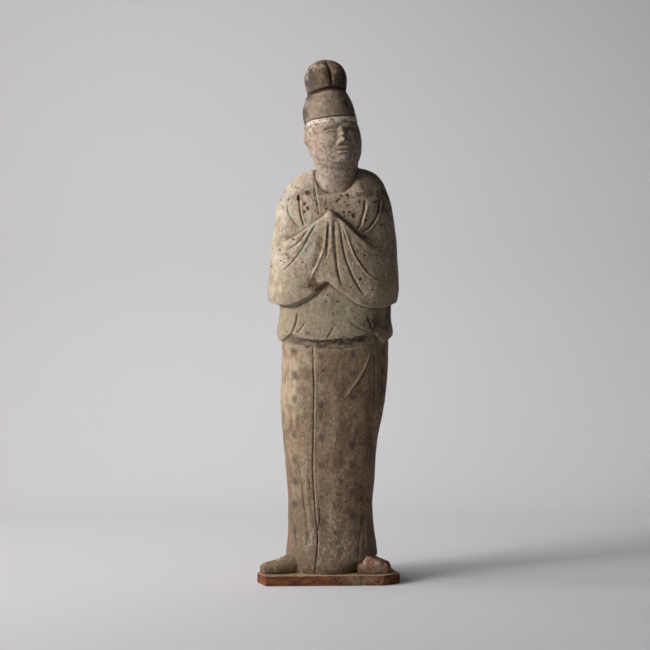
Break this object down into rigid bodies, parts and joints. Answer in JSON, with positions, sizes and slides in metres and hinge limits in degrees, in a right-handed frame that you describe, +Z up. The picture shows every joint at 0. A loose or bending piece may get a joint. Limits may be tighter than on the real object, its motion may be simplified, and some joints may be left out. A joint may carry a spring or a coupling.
{
  "type": "pottery courtier figure",
  "caption": "Slender standing courtier of hollow painted pottery, hands hidden in wide sleeves before the chest, in a knotted cap, belted jacket and long skirt, on a thin clay slab.",
  "frame": {"origin": "centre of the slab's underside", "axes": "+Z up along the figure's height, the figure faces -Y, +X to the viewer's right"},
  "size_m": [0.1649, 0.1044, 0.6009],
  "materials": {
    "painted_clay": "unglazed buff pottery with worn pale, green and dark paint",
    "slab_clay": "unglazed red-brown pottery, rough and chipped"
  },
  "bodies": {
    "root": {"figure": "painted_clay", "plinth": "slab_clay"}
  },
  "joints": []
}
